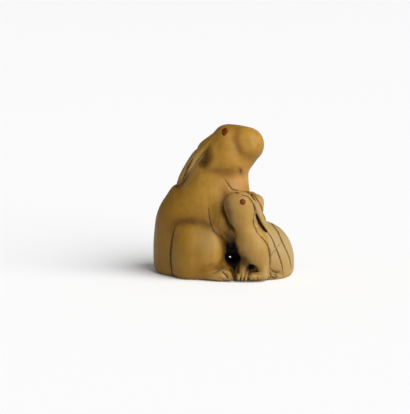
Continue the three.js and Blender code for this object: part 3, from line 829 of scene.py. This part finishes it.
# Beside each cut, how many of its half widths away a place lies, so that the colour can draw a fine line.
aside, tone_here, closest = np.full(len(spot), 9.0), np.zeros(len(spot)), np.full(len(spot), 99.0)
for half, _, tone, inside, away, hand, along in close_marks(CUTS, x, y, z):
    here = np.nonzero(inside)[0]
    nearer = away < closest[here]
    here = here[nearer]
    closest[here] = away[nearer]
    aside[here] = (hand * away / (1.3 * half * tapered(along)))[nearer]
    tone_here[here] = (tone * (1 - eased(away, half + 0.34, half + 0.62)))[nearer]
# Painted shade, nearly black: the passage with its mouths, and the pocket between the young's paws.
bore_shade = on(bore, 0.1) * eased(12.9 - np.abs(y + 0.4), 0, 2.5)
leaf_shade = (1 - eased(leaf, -0.3, 0.25)) * eased(-y, 4, 6) * eased(y, -10.9, -10.3)
pocket_shade = patch(7.2, 3.9, 1.3, 1.1) * 0.8 * eased(y, -13, -12.4) * eased(-y, 8, 9)
deep = np.maximum.reduce([bore_shade, on(far_mouth, 0.3) * 0.6,
                          leaf_shade * (0.32 + 0.68 * eased(11.4 - z, 0, 3)), pocket_shade])
# Rubbed pale: the far thigh, the young, the paws, and the gap between ear and nape. Painted highlights: the
# near knee, and the left of the young's head.
thigh = on(far_haunch, 0.5) * eased(x, 8, 12) * (0.45 + 0.35 * eased(z, 3, 9) + 0.2 * eased(x, 15, 18))
# Painted highlight on the bulge of the near knee.
knee_highlight = patch(-4.6, 11, 3, 3.4) * eased(-y, 6, 9)
nape_gap = seen(stroke((-7.4, 0, 30.2), (-11, 0, 25.7), 0))
nape_gap = np.exp(-((nape_gap / 0.8) ** 2)) * eased(np.abs(y), 2, 3)
recess *= 1 - 0.85 * nape_gap
worn = np.maximum.reduce([thigh * (1 - 0.55 * eased(y, -1, 6)), knee_highlight * 0.5, 0.6 * nape_gap,
                          on(ear, 0.3) * 0.5 * eased(35 - z, 0, 3),
                          on(near_foot, 0.3) * 0.4 * eased(x, -5, -2), on(far_foot, 0.3) * 0.7,
                          on(far_foreleg, 0.3) * 0.5 * eased(x, 7, 10),
                          # Painted light: the young's head is painted lighter on its left, where it turns
                          # from the light.
                          on(young_head, 0.3) * (0.25 + 0.3 * eased(4 - x, 0, 3)),
                          on(young_ears, 0.3) * 0.7 * eased(-y, 2, 5), on(young_body, 0.3) * 0.3,
                          on(young_hind_leg, 0.5) * 0.5 * eased(x, 9.5, 11.5)])
# Flushed: the throat and the far paw. Darker, partly with age and partly as painted shade: the back and the
# low left on the side turned from the light, the crown, the cheek and the chest, and the lower muzzle.
blush = np.maximum(patch(3.4, 26.4, 3.6, 2.8), on(far_foreleg, 0.3) * 0.5 * eased(x, 6, 9))
aged = np.maximum.reduce([eased(-x, 3, 16) * eased(36 - z, 0, 12), eased(-x, 2, 5) * eased(7 - z, 0, 5),
                          eased(z, 38.6, 40.8) * eased(7 - x, 0, 4), eased(-x, 0, 4) * eased(z, 32, 36) * 0.7,
                          patch(8.5, 33, 3, 2.2) * 0.9, patch(-1, 26, 3, 4) * 0.6, patch(-7, 32.5, 2, 3),
                          patch(2, 22, 4, 5) * 0.7])
places = {"recess": recess, "brown": brown, "rust": rust, "aside": aside, "tone": tone_here, "deep": deep,
          "worn": worn, "blush": blush, "aged": aged}
for name, values in places.items():
    made = carving.data.attributes.new(name, "FLOAT", "POINT")
    made.data.foreach_set("value", values.astype(np.float32))

ivory = bpy.data.materials.new("old_ivory")
ivory.use_nodes = True
ivory.node_tree.nodes.clear()
w = Wire(ivory.node_tree)


def drawn(name):
    """A value that was worked out for each place of the surface."""
    return w.node("ShaderNodeAttribute", {"attribute_name": name}, out=2)


def blended(base, other, share):
    """One colour laid over another by a share."""
    settings = {"data_type": "RGBA", "blend_type": "MIX"}
    return w.node("ShaderNodeMix", settings, {0: share, 6: base, 7: other}, out=2)


def grain(scale, detail=3.0, rough=0.55, stretch=None):
    """Cloudy variation, drawn out along one way by a stretch."""
    at = w.node("ShaderNodeTexCoord", out=3)
    if stretch:
        at = w.node("ShaderNodeMapping", inputs={"Vector": at, "Scale": stretch})
    return w.node("ShaderNodeTexNoise", inputs={
        "Vector": at, "Scale": scale, "Detail": detail, "Roughness": rough})


clouds = grain(110, 4).within(0.3, 0.7)
patches = grain(230, 3).within(0.35, 0.7)
specks = grain(900, 3).within(0.35, 0.75)
streaks = grain(700, 3, 0.6, (1, 1, 0.12)).within(0.35, 0.65)
# Patina and painted shade: the more closed in a place is, the browner it is painted.
hollow = (drawn("recess") + specks * 0.06 - 0.03).within(0.12, 0.75)
aside = drawn("aside")
scored = w.maths("EXPONENT", aside * aside * -1) * drawn("tone") * (0.75 + specks * 0.5)
black = drawn("deep").most(scored - 0.85)
# The ground colour, lighter and darker in clouds, patches and fine upright streaks.
honey = blended((0.32, 0.165, 0.018, 1), (0.21, 0.102, 0.01, 1), clouds)
honey = blended(honey, (0.38, 0.19, 0.022, 1), patches * 0.5)
honey = blended(honey, (0.38, 0.23, 0.052, 1), streaks * 0.3)
honey = blended(honey, (0.17, 0.08, 0.008, 1), specks * 0.22)
# Painted shade, partly age: darker over the back and the parts turned from the light.
honey = blended(honey, (0.19, 0.095, 0.008, 1), drawn("aged") * 0.7)
# Over it the worn places and the painted highlights, the flushed places, the stains and painted shade, the
# cut lines and the black painted as deep shade.
colour = blended(honey, (0.32, 0.225, 0.09, 1), drawn("worn"))
colour = blended(colour, (0.46, 0.225, 0.085, 1), drawn("blush") * 0.5)
colour = blended(colour, (0.16, 0.058, 0.007, 1), drawn("rust") * (0.6 + clouds * 0.4))
# Brown stain and painted shade in the hollows and creases.
hollow_stain_and_shade = (hollow * 0.55).most(drawn("brown") * (0.75 + specks * 0.25))
colour = blended(colour, (0.065, 0.028, 0.004, 1), hollow_stain_and_shade)
colour = blended(colour, (0.075, 0.034, 0.007, 1), scored.within(0.02, 0.8))
# Painted shade: the passage, its mouths and the pocket nearly black.
colour = blended(colour, (0.004, 0.0015, 0.0004, 1), black.within(0.15, 0.6))
height = grain(2600, 3, 0.6) * 0.35 + grain(500, 4, 0.6) * 0.65 - scored * 0.8
bump = w.node("ShaderNodeBump", inputs={"Strength": 0.2, "Distance": 0.00012, "Height": height})
shader = w.node("ShaderNodeBsdfPrincipled", inputs={
    "Base Color": colour, "Roughness": 0.42 + specks * 0.08 + hollow * 0.2 + black * 0.4, "Normal": bump,
    "Subsurface Weight": 0.2, "Subsurface Radius": (1.0, 0.5, 0.2), "Subsurface Scale": 0.0008,
    "IOR": 1.42, "Specular IOR Level": 0.22})
w.node("ShaderNodeOutputMaterial", inputs={0: shader})
carving.data.materials.clear()
carving.data.materials.append(ivory)
carving.data.shade_smooth()
carving.data.set_sharp_from_angle(angle=math.radians(55))
carving.data.transform(set_down)
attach(carving, "root")
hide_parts("ivory_carving")

# ---------------------------------------------------------------- the table, light and camera
# The netsuke stands on a plain white table under one large soft light from the right and above. A long
# lens looks a little down on the middle of it.
EDGE = 20.0
table_mesh = bpy.data.meshes.new("table")
table_corners = [(-EDGE, -EDGE, 0), (EDGE, -EDGE, 0), (EDGE, EDGE, 0), (-EDGE, EDGE, 0)]
table_mesh.from_pydata(table_corners, [], [(0, 1, 2, 3)])
table = bpy.data.objects.new("table", table_mesh)
bpy.context.scene.collection.objects.link(table)
white = bpy.data.materials.new("white_table")
white.use_nodes = True
white.node_tree.nodes["Principled BSDF"].inputs["Base Color"].default_value = (0.92, 0.92, 0.92, 1)
white.node_tree.nodes["Principled BSDF"].inputs["Roughness"].default_value = 0.9
table_mesh.materials.append(white)

world = bpy.data.worlds.new("room")
bpy.context.scene.world = world
world.use_nodes = True
world.node_tree.nodes["Background"].inputs["Color"].default_value = (1, 1, 1, 1)
world.node_tree.nodes["Background"].inputs["Strength"].default_value = 0.26

light = bpy.data.lights.new("soft_window", "SUN")
light.energy, light.angle = 4.6, math.radians(66)
window = bpy.data.objects.new("soft_window", light)
bpy.context.scene.collection.objects.link(window)
window.rotation_euler = Vector((0.75, -0.6, 0.64)).to_track_quat("Z", "Y").to_euler()

EYE, AIM = Vector((0, -0.3729, 0.0793)), Vector((-0.00507, 0, 0.01847))
camera = bpy.data.objects.new("camera", bpy.data.cameras.new("camera"))
bpy.context.scene.collection.objects.link(camera)
camera.data.lens, camera.data.sensor_width = 119.9, 36
camera.data.clip_start, camera.data.clip_end = 0.01, 100
camera.location = EYE
camera.rotation_euler = (EYE - AIM).to_track_quat("Z", "Y").to_euler()
bpy.context.scene.camera = camera
bpy.context.scene.view_settings.view_transform = "Standard"
